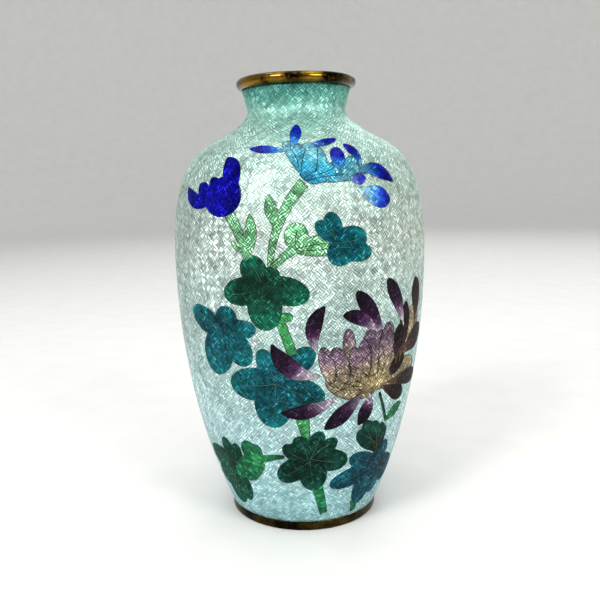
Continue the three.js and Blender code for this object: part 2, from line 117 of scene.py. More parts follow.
# Enamel cells with their slots, front to back, so that each one gives way to those before it.
CELLS = [
    # Chrysanthemum, inner petals.
    ("mum_inner_left", "lilac", lobe(12.4, 67, 8.2, 81, 5.6, 0.4)),
    ("mum_inner_scallop", "lilac", lobe(17.8, 66.4, 12.6, 80.6, 6.8)),
    ("mum_inner_small", "lilac", lobe(23.4, 66.6, 20.4, 80, 5.6), lobe(27, 68, 24.6, 82.6, 5.8, 0.4)),
    ("mum_inner_upright", "lilac", lobe(19.4, 73.2, 17.8, 87.2, 5.2)),
    ("mum_inner_right", "lilac", lobe(35.6, 69, 36.6, 87.8, 7.8)),
    ("mum_inner_top", "lilac", lobe(31, 68, 27.4, 86, 9, 0.8), lobe(32, 70, 32.4, 85.4, 7)),
    # Chrysanthemum, outer petals, clockwise from the left.
    ("mum_petal_curl", "plum", petal(6.2, 78.6, 9, 96.2, 5.6, 3)),
    ("mum_petal_crescent", "plum", spoon(31.4, 83, 15.8, 92.4, 5, -2.4)),
    ("mum_petal_upper", "plum", spoon(34.4, 80, 21, 100.8, 6, -0.9)),
    ("mum_petal_top", "plum", spoon(46, 84.6, 34.8, 104.2, 5.8, -0.8)),
    ("mum_petal_spur", "umber", spoon(42.8, 70.4, 43.6, 86, 6.6, 0.3)),
    ("mum_petal_spear", "umber", spoon(45.2, 70, 46.4, 94.2, 6.6, -0.6)),
    ("mum_petal_edge", "umber", spoon(55.6, 84, 53.4, 102.6, 8, -1.2)),
    ("mum_petal_round", "plum", lobe(39.4, 67.2, 48, 73.4, 6.4)),
    ("mum_petal_side", "umber", spoon(44.8, 73, 66, 80.4, 9.6, 1)),
    ("mum_petal_long", "umber", spoon(36.2, 62.8, 68, 60, 6.6, 1.4)),
    ("mum_petal_low", "plum", spoon(34.6, 62.4, 52.2, 55.4, 6.8, 0.4)),
    ("mum_petal_down", "plum", petal(29.2, 60.8, 25, 48, 6.6, 1.4)),
    ("mum_petal_dagger", "plum", petal(25.4, 61.2, 9.4, 48, 6.8, 0.6)),
    ("mum_petal_tail", "plum", petal(14.5, 61.4, -8.8, 55.2, 5.8, 2.2)),
    ("mum_petal_wing", "plum", petal(7.2, 70, -10.8, 82.4, 7.2, 3.8)),
    ("mum_heart", "gold",
     lobe(34, 64, 9.4, 68.5, 14), lobe(34, 63, 19, 78, 13), lobe(22, 70, 10.4, 73.2, 7),
     lobe(32, 62, 41, 78.4, 13.4), lobe(36, 67, 60, 66.4, 11)),
    ("mum_veil", "gold", lobe(48, 74, 55, 92, 14)),
    ("mum_stem", "leaf", stem(34.6, 60, 41.4, 47.5, (0.9, 1.3))),
    ("mum_leaf", "sprout", petal(40.8, 46.2, 53.4, 51.6, 5, 0.6)),
    # Blue flower.
    ("blue_petal_left", "cobalt", petal(-4.4, 153, -23, 155, 3.8, -0.2)),
    ("blue_petal_top", "cobalt", spoon(-2.6, 153.6, -0.2, 171.4, 6.6, -0.5)),
    ("blue_petal_upper", "cobalt", petal(4.4, 155, 21, 160, 3.8, -0.2)),
    ("blue_petal_egg", "cobalt", spoon(15.6, 143, 18.7, 154.4, 6.2, 0.2)),
    ("blue_petal_hook", "cobalt", spoon(26.4, 145, 22.6, 155.8, 4.8, -2)),
    ("blue_petal_sickle", "cobalt", petal(25, 143.4, 41.8, 139.4, 5.8, 2.8)),
    ("blue_petal_spot", "violet", petal(20.6, 140.4, 27.6, 141.2, 4)),
    ("blue_petal_drop", "cobalt", spoon(22.6, 137.6, 37.8, 133, 7.6, -0.6)),
    ("blue_body", "sky",
     lobe(5.4, 140.6, -6.5, 158, 8.6, -2), lobe(6.6, 139.4, 5.5, 157.4, 12.4),
     lobe(1, 143, 29.4, 144.8, 7.4, -0.2), lobe(16, 142, 26.6, 149.4, 6)),
    # Bud.
    ("bud_petals", "cobalt",
     lobe(-39, 135.2, -21.8, 135.8, 14.4), petal(-25.8, 135, -33, 150.8, 8, -2.2),
     petal(-34.5, 133.4, -54, 139, 5.2, 2.6), petal(-37, 134, -44.4, 140.4, 6),
     petal(-33, 134, -38, 142.4, 6, -0.8), petal(-30.6, 137, -32, 142.6, 3.4)),
    ("bud_stem", "sprout",
     stem(-27.2, 130.4, -18.8, 113.6, (4.4, 2.6), 1), petal(-18.4, 113.6, -18, 129.2, 4.2, -0.9),
     petal(-19.4, 115.4, -25.2, 119.6, 1.8, 0.5)),
    # Leaves and stems, upper half.
    ("upper_leaf", "teal",
     lobe(13, 119.5, 6.4, 126, 5.4), lobe(13.5, 119, 11.2, 129.2, 6.6), lobe(12, 118.5, 25, 120.6, 9),
     lobe(13, 117, 26.9, 114.2, 7.4), lobe(13.5, 119.5, 16.5, 110.8, 10)),
    ("branch_leaf", "sprout",
     lobe(-1.5, 116.8, -0.2, 125.9, 8.2), lobe(-1.5, 117.5, 14, 119.6, 5.4),
     lobe(-1.5, 116.6, 13, 115.8, 3.8), stem(-9.4, 110.4, -1.2, 117, (1.8, 3), 0.4)),
    ("centre_leaf", "leaf",
     lobe(-13.5, 104.5, -19.6, 114, 9.6), lobe(-12.5, 103, -29, 100.2, 10),
     lobe(-12.8, 105, -13, 87.6, 12.8), lobe(-13, 104, 3.3, 100, 10), lobe(-13, 104, -8, 109.9, 6)),
    ("blue_stem", "sprout",
     stem(-10.3, 109.5, 2.3, 139.8, (1.7, 4.4), 3.2), petal(-7.4, 123.4, -10.8, 136, 4.4, 0.4)),
    ("middle_stem", "sprout", stem(-8.6, 95, -3, 78.4, (3, 3.6)), lobe(-7, 92.6, -2.6, 92.6, 3)),
    ("left_leaf", "teal",
     lobe(-31, 86, -48.2, 92.6, 9.6), lobe(-29.6, 86, -28.6, 95.6, 9.8), lobe(-31, 86, -16.8, 88, 7.4),
     lobe(-30.5, 87.5, -20.5, 74, 11.4), lobe(-31, 87.5, -38.2, 68.8, 15)),
    # Leaves and stems, lower half.
    ("broad_leaf", "teal",
     lobe(-10.5, 68, -15.4, 80.2, 7.6), lobe(-8, 67.5, -29.8, 65.2, 12.8),
     lobe(-11, 67.5, 9, 60.6, 11), lobe(-12, 60, 4, 57.6, 6), lobe(-15, 70, -2.5, 69.4, 7),
     lobe(-10, 68, -13.4, 49, 15.6)),
    ("broad_leaf_tip", "teal", lobe(-5.4, 71.6, 4.6, 80.4, 8.6)),
    ("bottom_leaf", "leaf",
     lobe(2.5, 34, -2.6, 44.9, 8.4), lobe(2.5, 34, -9, 40.4, 7.4), lobe(3, 34.5, 8.2, 47, 7.6),
     lobe(3, 34.5, 15.4, 43, 7.2), lobe(2, 35.5, 21.8, 32.4, 10.2), lobe(4, 34.5, -12.6, 25.4, 10.4),
     lobe(3.4, 35, 6.4, 19.7, 13.6)),
    ("lower_stem", "sprout", stem(0.2, 52.6, 2.6, 39.6, (5.4, 1.8))),
    ("bottom_stem", "sprout", stem(7, 22, 12.3, 6.6, (5.6, 4.4))),
    ("fan_leaf", "leaf",
     lobe(40, 35.6, 25.2, 44.4, 8), lobe(39.5, 34, 28.4, 48.8, 7.6), lobe(39.5, 33.4, 33.6, 47.8, 8),
     lobe(39.5, 33, 39.4, 46.2, 7), lobe(39.5, 33, 42.6, 44, 5.4)),
    ("right_leaf", "teal",
     lobe(42, 26.5, 23.2, 33.2, 8.6), lobe(41, 27, 14, 21.4, 9.4), lobe(39, 28, 34.2, 8.2, 15),
     lobe(39, 28, 48.2, 12, 13), lobe(38, 27, 64, 18, 13), lobe(38, 26, 48, 35.6, 10.5)),
    ("right_stem", "sprout", stem(32.6, 11, 34, 4.4, (6, 3.6))),
    ("light_leaf", "sprout",
     lobe(-22, 31.5, -29, 40.4, 8.8), lobe(-25, 30.5, -21.4, 40, 7.2), lobe(-19.4, 35, -38.8, 23.2, 9),
     lobe(-19.4, 34, -31.4, 22.4, 7.6), stem(-22, 32.8, -8.6, 35.7, (3.6, 1.2), 0.6)),
    ("left_green_leaf", "leaf",
     lobe(-37, 26, -41.8, 39.8, 8.4), lobe(-37.5, 26, -33.2, 38.4, 7.2),
     lobe(-33, 26, -60, 29.4, 12.4), lobe(-33, 25.4, -58.5, 17.6, 11.6),
     lobe(-37.5, 27.5, -47.5, 7.4, 16), lobe(-37.5, 27.5, -35, 10.2, 11)),
]

# Leaves with a vein up each lobe, how far it goes towards the tip, and how far it bends.
VEINED_LEAVES = (
    "upper_leaf", "centre_leaf", "left_leaf", "broad_leaf", "bottom_leaf",
    "fan_leaf", "right_leaf", "light_leaf", "left_green_leaf",
)
VEIN_REACH = 0.8
VEIN_BEND = 0.7
VEIN_POINTS = 30
VEIN_START = 2

# Free wires in the branch leaf, the blue flower and the bud: base, tip and bend.
FREE_WIRES = [
    (-1, 117, 12, 118.7, 0.3), (0, 116.2, 11, 116.8, -0.2), (-1.2, 117.6, -0.4, 123.6, 0.3),
    (3, 140.6, 20, 142.4, 0.6), (7, 142.6, 17, 147, -0.6), (1.4, 144, 4.6, 155.6, 0.5),
    (7, 143.6, 9.2, 154.4, -0.4), (0.6, 146, -4.4, 156.2, -0.8), (-40, 134.2, -24, 133.4, -1.6),
    (-33.6, 133, -36.8, 138.6, 0.4), (-30, 133.4, -28.6, 139.8, -0.6),
]
# Small petals drawn with wire in the chrysanthemum's heart: base, tip, width and bend.
# That many points of their outline are left out at the base, so they open inwards like scales.
HEART_PETALS = [
    (30, 62.6, 12.6, 62.4, 3.4, -0.4), (30, 63, 10.8, 66.4, 3.6, -0.3), (30.6, 63.4, 13, 70.4, 3.8, 0.3),
    (31, 64, 18.6, 73, 4, 0.5), (31.4, 64.4, 24.6, 75.4, 4, 0.4), (32, 64.8, 29.4, 77, 4.2, 0.3),
    (33, 65, 34, 76.4, 4, -0.2), (34, 65, 38.6, 74.8, 3.6, -0.4), (34.4, 64.6, 41.6, 70.4, 3.2, -0.3),
    (29, 62, 19.6, 66.4, 3, 0.2), (30, 63, 24, 69.6, 3, 0.2),
]
HEART_OPEN = 14
# The cells that free wires and heart petals lie in.
WIRED_CELLS = (
    "branch_leaf", "blue_body", "bud_petals", "mum_heart", "mum_inner_left", "mum_inner_scallop",
    "mum_inner_small", "mum_inner_upright", "mum_inner_right", "mum_inner_top",
)


# ---- the wall and its chart

def bezier(ends, share):
    """Points of a cubic Bezier curve at the given shares of its parameter."""
    a, b, c, d = (np.array(end, float) for end in ends)
    t = np.asarray(share, float)[:, None]
    return a * (1 - t) ** 3 + 3 * b * t * (1 - t) ** 2 + 3 * c * t * t * (1 - t) + d * t ** 3


# The outer surface's radius and height, closely spaced from foot to lip.
SHARES = np.linspace(0, 1, 4 * WALL_STEPS + 1)
WALL_POINTS = np.vstack([bezier(ends, SHARES)[min(i, 1):] for i, ends in enumerate(WALL)])
WALL_GAPS = np.hypot(*np.diff(WALL_POINTS, axis=0).T)
WALL_V = CHART_START + np.concatenate([[0], np.cumsum(WALL_GAPS)])
WALL_SLOPE = np.gradient(WALL_POINTS, WALL_V, axis=0)
# The foil's own height is stretched as the wall narrows, which keeps its weave square.
FOIL_STEPS = WALL_GAPS * BELLY_RADIUS / ((WALL_POINTS[1:, 0] + WALL_POINTS[:-1, 0]) / 2)
WALL_W = np.concatenate([[0], np.cumsum(FOIL_STEPS)])


def wall_at(v, depth):
    """Radius and height of the wall at chart height v, a depth below its surface."""
    slope_r = np.interp(v, WALL_V, WALL_SLOPE[:, 0])
    slope_z = np.interp(v, WALL_V, WALL_SLOPE[:, 1])
    length = np.hypot(slope_r, slope_z)
    radius = np.interp(v, WALL_V, WALL_POINTS[:, 0]) - depth * slope_z / length
    height = np.interp(v, WALL_V, WALL_POINTS[:, 1]) + depth * slope_r / length
    return radius, height


def on_wall(x, v, lift):
    """Points in mm at chart places x and v, lifted off the outer surface."""
    radius, height = wall_at(v, -np.asarray(lift, float))
    angle = np.asarray(x, float) / BELLY_RADIUS
    return np.stack([radius * np.sin(angle), -radius * np.cos(angle), height + 0 * angle], axis=-1)


# ---- meshes

def add_object(name, data):
    """Puts a mesh, a light or a camera in the scene."""
    thing = bpy.data.objects.new(name, data)
    bpy.context.scene.collection.objects.link(thing)
    return thing


def make_piece(name, points, faces, material, slot, *replaced):
    """A mesh piece from points in mm, with the given material. It rides on the one body. Its slot is not
    used.
    """
    mesh = bpy.data.meshes.new(name)
    mesh.from_pydata((np.asarray(points) * MM).tolist(), [], faces)
    mesh.polygons.foreach_set("use_smooth", [True] * len(mesh.polygons))
    mesh.materials.append(material)
    mesh.update()
    piece = add_object(name, mesh)
    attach(piece, "root")
    if replaced:
        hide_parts(*replaced)
    return piece


def set_foil(piece, corner_places):
    """Stores the foil coordinates of every face corner."""
    layer = piece.data.uv_layers.new(name="foil")
    layer.data.foreach_set("uv", np.asarray(corner_places, np.float32).ravel())


def set_values(piece, name, values):
    """Stores one number for every point of a piece."""
    layer = piece.data.attributes.new(name, "FLOAT", "POINT")
    layer.data.foreach_set("value", np.asarray(values, np.float32))


def turned(profile, wave=0.0):
    """Points and faces of a closed outline turned about Z, its radius slightly waved.

    Radius 0 becomes one point on the axis.
    """
    angles = np.linspace(-math.pi, math.pi, TURNS, endpoint=False)
    points = []
    rows = []
    for radius, height in profile:
        first = len(points)
        if radius == 0:
            points.append((0, 0, height))
            rows.append([first] * TURNS)
            continue
        rows.append(list(range(first, first + TURNS)))
        ring = radius + wave * np.sin(WAVES * angles + height)
        points.extend(zip(ring * np.sin(angles), -ring * np.cos(angles), np.full(TURNS, height)))
    faces = []
    for low, high in zip(rows, rows[1:] + rows[:1]):
        for j in range(TURNS):
            k = (j + 1) % TURNS
            face = list(dict.fromkeys((low[j], low[k], high[k], high[j])))
            if len(face) > 2:
                faces.append(face)
    return points, faces


# ---- cell outlines

# How far a petal's widest place leans to the tip, and how blunt its ends are.
SWELLS = {"petal": (1.25, 0.8), "spoon": (1.7, 0.65)}


def spine(stroke, count):
    """A stroke's middle line as a quadratic Bezier curve: its points and its left normals."""
    base = np.array(stroke[1:3], float)
    tip = np.array(stroke[3:5], float)
    left = np.array([base[1] - tip[1], tip[0] - base[0]]) / math.dist(base, tip)
    control = (base + tip) / 2 + 2 * stroke[6] * left
    t = np.linspace(0, 1, count)[:, None]
    points = base * (1 - t) ** 2 + 2 * control * t * (1 - t) + tip * t * t
    slope = 2 * (control - base) * (1 - t) + 2 * (tip - control) * t
    slope /= np.linalg.norm(slope, axis=1)[:, None]
    return points, np.stack([-slope[:, 1], slope[:, 0]], axis=1)


def half_width(stroke, t):
    """Half of a stroke's width along it."""
    kind, width = stroke[0], stroke[5]
    if kind == "stem":
        return (width[0] + (width[1] - width[0]) * t) / 2
    if kind == "lobe":
        return width / 2 * np.sqrt(np.clip(1 - (2 * t - 1) ** 2, 0, 1))
    lean, bluntness = SWELLS[kind]
    return width / 2 * np.clip(np.sin(math.pi * t ** lean), 0, 1) ** bluntness


def stroke_outline(stroke):
    """A stroke's outline as a closed polygon on the chart."""
    points, left = spine(stroke, OUTLINE_POINTS)
    half = half_width(stroke, np.linspace(0, 1, OUTLINE_POINTS))[:, None]
    return np.vstack([points + left * half, (points - left * half)[::-1]])


def stroke_distance(stroke, x, v):
    """Signed distance to a stroke's edge, below 0 inside. Away from the stroke it is FAR."""
    outline = stroke_outline(stroke)
    low = outline.min(0) - FAR
    high = outline.max(0) + FAR
    near = (x > low[0]) & (x < high[0]) & (v > low[1]) & (v < high[1])
    distance = np.full(x.shape, FAR)
    px, pv = x[near], v[near]
    best = np.full(px.shape, FAR * FAR)
    inside = np.zeros(px.shape, bool)
    for (ax, av), (bx, bv) in zip(outline, np.roll(outline, -1, axis=0)):
        dx, dv = bx - ax, bv - av
        length = dx * dx + dv * dv
        if length == 0:
            continue
        share = np.clip(((px - ax) * dx + (pv - av) * dv) / length, 0, 1)
        best = np.minimum(best, (px - ax - share * dx) ** 2 + (pv - av - share * dv) ** 2)
        crosses = (av > pv) != (bv > pv)
        if dv != 0:
            inside ^= crosses & (px < ax + (pv - av) * dx / dv)
    distance[near] = np.where(inside, -np.sqrt(best), np.sqrt(best))
    return distance


def soft_least(a, b):
    """The lesser of two distances, with the notch between two strokes slightly rounded."""
    share = np.clip(0.5 + (b - a) / (2 * BLEND), 0, 1)
    return b + (a - b) * share - BLEND * share * (1 - share)


def cell_distance(strokes, x, v):
    """Signed distance to a cell's edge, and how far along its nearest stroke each place lies."""
    distance = None
    nearest = np.full(x.shape, np.inf)
    along = np.zeros(x.shape)
    for stroke in strokes:
        own = stroke_distance(stroke, x, v)
        distance = own if distance is None else soft_least(distance, own)
        base = np.array(stroke[1:3], float)
        run = np.array(stroke[3:5], float) - base
        share = ((x - base[0]) * run[0] + (v - base[1]) * run[1]) / (run @ run)
        closer = own < nearest
        nearest = np.where(closer, own, nearest)
        along = np.where(closer, share, along)
    return distance, np.clip(along, 0, 1)


def cell_box(strokes):
    """The lowest and highest chart place that a cell's strokes reach."""
    outlines = np.vstack([stroke_outline(stroke) for stroke in strokes])
    return outlines.min(0), outlines.max(0)


def survey_cells():
    """For every cell: its grid, its own distance, the distance to the cells in front, and its shade."""
    boxes = [cell_box(strokes) for _, _, *strokes in CELLS]
    surveys = []
    for index, (name, slot, *strokes) in enumerate(CELLS):
        low, high = boxes[index][0] - 1, boxes[index][1] + 1
        xs = np.arange(low[0], high[0] + GRID, GRID)
        vs = np.arange(low[1], high[1] + GRID, GRID)
        x, v = np.meshgrid(xs, vs, indexing="ij")
        own, along = cell_distance(strokes, x, v)
        front = np.full(x.shape, FAR)
        for other in range(index):
            if (boxes[other][0] > high).any() or (boxes[other][1] < low).any():
                continue
            front = np.minimum(front, cell_distance(CELLS[other][2:], x, v)[0])
        surveys.append({"name": name, "slot": slot, "x": x, "v": v,
                        "own": own, "front": front, "along": along})
    return surveys


# ---- fillings

def cut_squares(field):
    """Walks the grid squares that reach where field is below 0.

    Each gives its corners inside as a pair of equal corners, and its crossed sides as two corners.
    """
    inside = field < 0
    touched = inside[:-1, :-1] | inside[1:, :-1] | inside[:-1, 1:] | inside[1:, 1:]
    for i, j in zip(*np.nonzero(touched)):
        ring = []
        for here, there in zip(SQUARE, SQUARE[1:] + SQUARE[:1]):
            a = (int(i) + here[0], int(j) + here[1])
            b = (int(i) + there[0], int(j) + there[1])
            if inside[a]:
                ring.append((a, a))
            if inside[a] != inside[b]:
                ring.append((min(a, b), max(a, b)))
        yield ring


def value_at(layer, field, side):
    """A layer's value at a corner, or at the place between two corners where field is 0."""
    a, b = side
    if a == b:
        return layer[a]
    return layer[a] + (layer[b] - layer[a]) * field[a] / (field[a] - field[b])


def make_filling(survey, material, fade):
    """One enamel cell as a thin cushion of enamel, flush with the wires round it."""
    field = np.maximum(survey["own"], WIRE_GAP - survey["front"]) - FILL_CREEP
    layers = (survey["x"], survey["v"], field, survey["along"])
    numbers = {}
    faces = [[numbers.setdefault(side, len(numbers)) for side in ring] for ring in cut_squares(field)]
    values = [[value_at(layer, field, side) for layer in layers] for side in numbers]
    x, v, depth, along = np.array(values).T
    rise = np.clip(-depth / FILL_SHOULDER, 0, 1)
    lift = FILL_RISE * rise - FILL_DIP * (1 - rise)
    piece = make_piece("enamel_" + survey["name"], on_wall(x, v, lift), faces, material,
                       survey["slot"], survey["name"])
    places = np.stack([x, np.interp(v, WALL_V, WALL_W)], axis=-1)
    set_foil(piece, places[[index for face in faces for index in face]])
    set_values(piece, "along", along ** fade)
    set_values(piece, "inset", np.clip(-depth, 0, INSET_REACH))


# ---- wires

def edge_lines(survey):
    """The middle lines of the wires round a cell, left out where a cell in front covers them."""
    field = survey["own"] - WIRE_GAP / 2
    layers = (survey["x"], survey["v"])
    links = {}
    for ring in cut_squares(field):
        sides = [side for side in ring if side[0] != side[1]]
        for one, two in zip(sides[::2], sides[1::2]):
            if min(value_at(survey["front"], field, side) for side in (one, two)) > WIRE_GAP / 4:
                links.setdefault(one, []).append(two)
                links.setdefault(two, []).append(one)
    return [np.array([[value_at(layer, field, side) for layer in layers] for side in line])
            for line in chains(links)]


def chains(links):
    """Walks a network of links into lines. A loop's first place comes again at its end."""
    lines = []
    done = set()
    ends = [key for key in links if len(links[key]) == 1]
    for start in ends + list(links):
        if start in done:
            continue
        line = [start]
        done.add(start)
        while True:
            onward = [key for key in links[line[-1]] if key not in done]
            if not onward:
                break
            line.append(onward[0])
            done.add(onward[0])
        if len(line) > 3 and line[0] in links[line[-1]]:
            line.append(line[0])
        if len(line) > 3:
            lines.append(line)
    return lines


def smoothed(line):
    """A line with its grid steps smoothed away. Its ends stay, and a loop stays closed."""
    loop = np.allclose(line[0], line[-1])
    for _ in range(SMOOTHINGS):
        if loop:
            ring = line[:-1]
            ring = (np.roll(ring, 1, axis=0) + 2 * ring + np.roll(ring, -1, axis=0)) / 4
            line = np.vstack([ring, ring[:1]])
        else:
            line = np.vstack([line[:1], (line[:-2] + 2 * line[1:-1] + line[2:]) / 4, line[-1:]])
    return line


def wire_mesh(lines, half):
    """Flat wires on edge, their tops slightly rounded, along chart lines."""
    points = []
    faces = []
    shoulder, crown = WIRE_SHOULDER * WIRE_RISE, WIRE_CROWN * half
    section = ((-half, -WIRE_DEPTH), (half, -WIRE_DEPTH), (half, shoulder),
               (crown, WIRE_RISE), (-crown, WIRE_RISE), (-half, shoulder))
    count = len(section)
    for line in lines:
        loop = np.allclose(line[0], line[-1])
        if loop:
            line = line[:-1]
        middle = on_wall(line[:, 0], line[:, 1], 0)
        outward = on_wall(line[:, 0], line[:, 1], 1) - middle
        if loop:
            slope = np.roll(middle, -1, axis=0) - np.roll(middle, 1, axis=0)
        else:
            slope = np.gradient(middle, axis=0)
        side = np.cross(slope, outward)
        side /= np.linalg.norm(side, axis=1)[:, None]
        first = len(points)
        for place, s, n in zip(middle, side, outward):
            points.extend(place + s * a + n * b for a, b in section)
        total = len(middle)
        for i in range(total if loop else total - 1):
            here = first + i * count
            there = first + (i + 1) % total * count
            for k in range(count):
                m = (k + 1) % count
                faces.append((here + k, there + k, there + m, here + m))
        if not loop:
            faces.append([first + k for k in range(count)])
            faces.append([first + (total - 1) * count + k for k in range(count)][::-1])
    return points, faces


# ---- materials

def colour(code):
    """Linear red, green, blue and alpha of an sRGB colour such as 0xb4d2cc."""
    parts = [(code >> shift & 255) / 255 for shift in (16, 8, 0)]
    return [p / 12.92 if p <= 0.04045 else ((p + 0.055) / 1.055) ** 2.4 for p in parts] + [1.0]


class Nodes:
    """Short ways to add nodes to a tree. A value is either a number or another node's output."""

    def __init__(self, tree):
        self.tree = tree

    def add(self, kind, values=None, **settings):
        node = self.tree.nodes.new(kind)
        for name, setting in settings.items():
            setattr(node, name, setting)
        for name, value in (values or {}).items():
            self.put(node.inputs[name], value)
        return node

    def put(self, socket, value):
        if isinstance(value, bpy.types.NodeSocket):
            self.tree.links.new(value, socket)
        else:
            socket.default_value = value

    def math(self, operation, *values):
        node = self.add("ShaderNodeMath", operation=operation)
        for socket, value in zip(node.inputs, values):
            self.put(socket, value)
        return node.outputs[0]

    def vector(self, operation, first, second=None, scale=None):
        node = self.add("ShaderNodeVectorMath", operation=operation)
        self.put(node.inputs[0], first)
        if second is not None:
            self.put(node.inputs[1], second)
        if scale is not None:
            self.put(node.inputs["Scale"], scale)
        return node.outputs["Vector"]

    def blend(self, share, first, second):
        node = self.add("ShaderNodeMix", data_type="RGBA")
        for index, value in ((0, share), (6, first), (7, second)):
            self.put(node.inputs[index], value)
        return node.outputs[2]

    def fit(self, value, low, high, to_low=0.0, to_high=1.0):
        node = self.add("ShaderNodeMapRange", {
            "Value": value, "From Min": low, "From Max": high, "To Min": to_low, "To Max": to_high})
        return node.outputs[0]

    def spread(self, noise, low, high):
        return self.fit(noise, 0.3, 0.7, low, high)

    def split(self, vector):
        return self.add("ShaderNodeSeparateXYZ", {"Vector": vector}).outputs

    def chance(self, x, y, z=0.0):
        place = self.add("ShaderNodeCombineXYZ", {"X": x, "Y": y, "Z": z}).outputs["Vector"]
        return self.add("ShaderNodeTexWhiteNoise", {"Vector": place}).outputs["Value"]

    def times(self, first, *others):
        for other in others:
            first = self.math("MULTIPLY", first, other)
        return first

    def ramp(self, value, stops, interpolation="LINEAR"):
        node = self.add("ShaderNodeValToRGB", {"Fac": value})
        node.color_ramp.interpolation = interpolation
        elements = node.color_ramp.elements
        while len(elements) < len(stops):
            elements.new(0.5)
        for element, (place, code) in zip(elements, stops):
            element.position = place
            element.color = colour(code) if isinstance(code, int) else code
        return node.outputs["Color"]

    def noise(self, vector, scale, detail=2.0):
        values = {"Vector": vector, "Scale": scale, "Detail": detail}
        return self.add("ShaderNodeTexNoise", values).outputs["Fac"]

    def place(self):
        return self.add("ShaderNodeTexCoord").outputs["Object"]

    def bump(self, relief, height):
        values = {"Strength": relief[0], "Distance": relief[1], "Height": height}
        return self.add("ShaderNodeBump", values).outputs["Normal"]

    def dress(self, shader, values):
        for name, value in values.items():
            self.put(shader.inputs[name], value)


# Reliefs: how strong each bump is, and its height in metres.
STAMPED = (0.9, 0.00014)
WAVY = (0.12, 0.0002)
TURNED = (0.2, 0.0001)
CRINKLED = (0.5, 0.0002)
PITTED = (0.3, 0.0003)

# The foil's weave: square tiles of parallel strokes set on their corners, turned one way and the other.
TILE = 1.75
STROKES_PER_TILE = 2
STRAY_TILES = 0.14
# How far the weave is drawn out of place, and the scale of the noise that does it.
WANDER = (0.8, 0.17)
WOBBLE = (0.4, 0.55)
# The least size of a stroke, the tapered share at its ends, how steep its sides are, how rare glints are.
STROKE_SIZE = 0.3
STROKE_TAPER = 0.16
STROKE_POWER = 1.5
GLINT_POWER = 5.0
# Each sheet of foil goes up to this chart height, and has one scale of weave.
SHEETS = (30, 66, 143, 155, 164)


def foil_group():
    """The stamped weave: its height, a random number for each tile, its glints and its direction."""
    group = bpy.data.node_groups.new("foil_weave", "ShaderNodeTree")
    for name in ("Ridge", "Tile", "Glint", "Turn"):
        group.interface.new_socket(name=name, in_out="OUTPUT", socket_type="NodeSocketFloat")
    n = Nodes(group)
    place = n.add("ShaderNodeUVMap", uv_map="foil").outputs["UV"]

    top = float(WALL_W[-1])
    height = n.split(place)["Y"]
    edges = [WALL_V[0], *SHEETS, WALL_V[-1]]
    stops = []
    for low, high in zip(edges, edges[1:]):
        scale = float(np.interp((low + high) / 2, WALL_V, WALL_POINTS[:, 0])) / BELLY_RADIUS
        stops.append((float(np.interp(low, WALL_V, WALL_W)) / top, (scale, scale, scale, 1.0)))
    sheet_scale = n.ramp(n.math("DIVIDE", height, top), stops, "CONSTANT")
    scaled = n.vector("MULTIPLY", place, sheet_scale)

    placed = scaled
    for reach, noise_scale in (WANDER, WOBBLE):
        values = {"Vector": scaled, "Scale": noise_scale, "Detail": 1.0}
        drift = n.add("ShaderNodeTexNoise", values, noise_dimensions="2D").outputs["Color"]
        drift = n.vector("SUBTRACT", drift, (0.5, 0.5, 0.5))
        placed = n.vector("ADD", placed, n.vector("SCALE", drift, scale=2 * reach))
    tiles = n.add("ShaderNodeMapping", {
        "Vector": placed, "Rotation": (0, 0, math.pi / 4), "Scale": (1 / TILE, 1 / TILE, 1)})
    tiles = tiles.outputs["Vector"]
    column, row, _ = n.split(n.vector("FLOOR", tiles))
    part_x, part_y, _ = n.split(n.vector("FRACTION", tiles))

    chance = n.chance(column, row)
    turn = n.math("FLOORED_MODULO", n.math("ADD", column, row), 2.0)
    stray = n.math("LESS_THAN", chance, STRAY_TILES)
    turn = n.math("ABSOLUTE", n.math("SUBTRACT", turn, stray))
    across = n.fit(turn, 0.0, 1.0, part_x, part_y)
    along = n.fit(turn, 0.0, 1.0, part_y, part_x)

    strokes = n.times(across, float(STROKES_PER_TILE))
    wave = n.math("COSINE", n.times(strokes, 2 * math.pi))
    wave = n.math("POWER", n.fit(wave, 1.0, -1.0), STROKE_POWER)
    stroke_chance = n.chance(column, row, n.math("ADD", n.math("FLOOR", strokes), 1.0))
    size = n.fit(stroke_chance, 0.0, 1.0, STROKE_SIZE, 1.0)
    to_end = n.math("MINIMUM", along, n.math("SUBTRACT", 1.0, along))
    stroke = n.times(wave, n.fit(to_end, 0.0, STROKE_TAPER))
    ridge = n.times(stroke, size)
    glint = n.times(stroke, n.math("POWER", stroke_chance, GLINT_POWER))

    n.add("NodeGroupOutput", {"Ridge": ridge, "Tile": chance, "Glint": glint, "Turn": turn})
    return group


FOIL = foil_group()


def new_material(name):
    """An empty material's nodes and its main shader."""
    material = bpy.data.materials.new(name)
    material.use_nodes = True
    material.node_tree.nodes.clear()
    n = Nodes(material.node_tree)
    shader = n.add("ShaderNodeBsdfPrincipled")
    out = n.add("ShaderNodeOutputMaterial")
    n.put(out.inputs["Surface"], shader.outputs["BSDF"])
    return material, n, shader


# How dark the foil's grooves are against the tint, how bright and how white its strokes are, how much
# more the brightest strokes shine, and how strongly the enamel is mottled.
DEEP_FOIL = (0.54, 1.15, 0.006, 2.5, 0.44)
SKY_FOIL = (0.42, 1.2, 0.05, 1.0, 0.34)
PALE_FOIL = (0.36, 1.25, 0.16, 0.9, 0.34)
STEM_FOIL = (0.42, 1.5, 0.24, 1.0, 0.34)
GROUND_FOIL = (0.5, 1.34, 0.45, 0.3, 0.16)
# How much lighter or darker whole tiles are, and how far the two directions of strokes lean apart.
TILE_SHADE = 0.2
LEAN = 0.15
MOTTLE_SCALES = (70.0, 260.0, 700.0)


